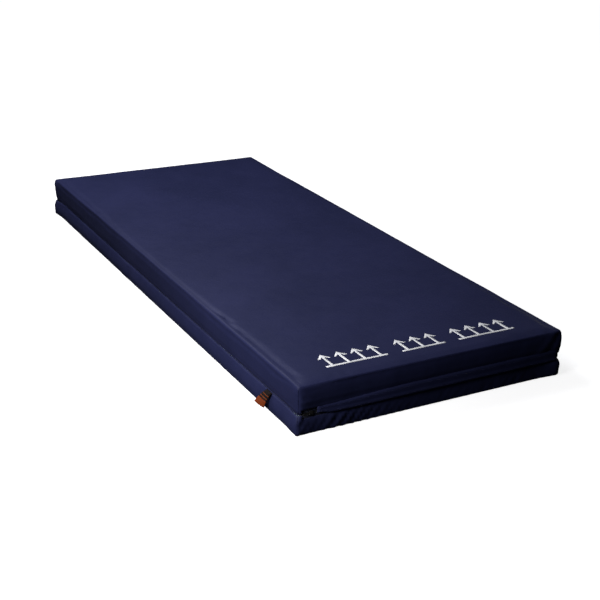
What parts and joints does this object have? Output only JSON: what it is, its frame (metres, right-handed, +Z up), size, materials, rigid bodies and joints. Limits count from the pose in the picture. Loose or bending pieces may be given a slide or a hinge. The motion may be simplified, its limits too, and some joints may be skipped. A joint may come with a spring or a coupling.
{
  "type": "pressure relief mattress",
  "caption": "Flat foam hospital mattress in a dark blue coated cover that unzips on three sides and folds open on its sewn side.",
  "frame": {"origin": "centre of the mattress's underside, which rests on the bed deck", "axes": "+Y along the mattress towards the head end, +X towards the zipped long side, +Z up out of the sleeping surface"},
  "size_m": [0.8858, 2.0104, 0.1404],
  "materials": {
    "cover_fabric": "satin",
    "base_foam": "matte",
    "rail_foam": "matte",
    "visco_foam": "matte",
    "zip_tape": "matte",
    "zip_coil": "satin",
    "slider_metal": "satin",
    "print_ink": "matte",
    "tag_ribbon": "matte"
  },
  "bodies": {
    "mattress_base": {"bottom_cover": "cover_fabric", "base_foam": "base_foam", "edge_rail_left": "rail_foam", "edge_rail_right": "rail_foam", "visco_layer": "visco_foam", "lower_zip_tape": "zip_tape", "lower_zip_coil": "zip_coil", "lower_zip_stops": "slider_metal", "left_seam_welt": "cover_fabric"},
    "cover_top": {"top_cover": "cover_fabric", "upper_zip_tape": "zip_tape", "upper_zip_coil": "zip_coil", "upper_zip_stops": "slider_metal", "orientation_print": "print_ink"},
    "flap_foot": {"flap_foot": "cover_fabric"},
    "flap_right": {"flap_right": "cover_fabric"},
    "flap_head": {"flap_head": "cover_fabric"},
    "zip_slider": {"slider_body": "slider_metal", "puller_pin": "slider_metal"},
    "zip_puller": {"puller_tab": "slider_metal"},
    "side_tag": {"side_tag": "tag_ribbon"}
  },
  "joints": [
    {"name": "cover_open", "type": "hinge", "parent": "mattress_base", "child": "cover_top", "pos_m": [-0.4243, 0, 0.06], "axis": [0, -1, 0], "range_deg": [0, 105]},
    {"name": "flap_foot_lift", "type": "hinge", "parent": "cover_top", "child": "flap_foot", "pos_m": [0, -1.0009, 0.081], "axis": [-1, 0, 0], "range_deg": [0, 90]},
    {"name": "flap_right_lift", "type": "hinge", "parent": "cover_top", "child": "flap_right", "pos_m": [0.4259, 0, 0.081], "axis": [0, -1, 0], "range_deg": [0, 90]},
    {"name": "flap_head_lift", "type": "hinge", "parent": "cover_top", "child": "flap_head", "pos_m": [0, 1.0009, 0.081], "axis": [1, 0, 0], "range_deg": [0, 90]},
    {"name": "zip_slide", "type": "slide", "parent": "mattress_base", "child": "zip_slider", "axis": [1, 0, 0], "range_m": [0, 0.76]},
    {"name": "puller_swing", "type": "hinge", "parent": "zip_slider", "child": "zip_puller", "pos_m": [-0.3898, -1.0026, 0.06], "axis": [0, 0, 1], "range_deg": [0, 165]},
    {"name": "tag_fold", "type": "hinge", "parent": "mattress_base", "child": "side_tag", "pos_m": [-0.4265, -0.845, 0.057], "axis": [0, -1, 0], "range_deg": [-110, 20], "stiffness_Nm_per_rad": 0.02}
  ]
}
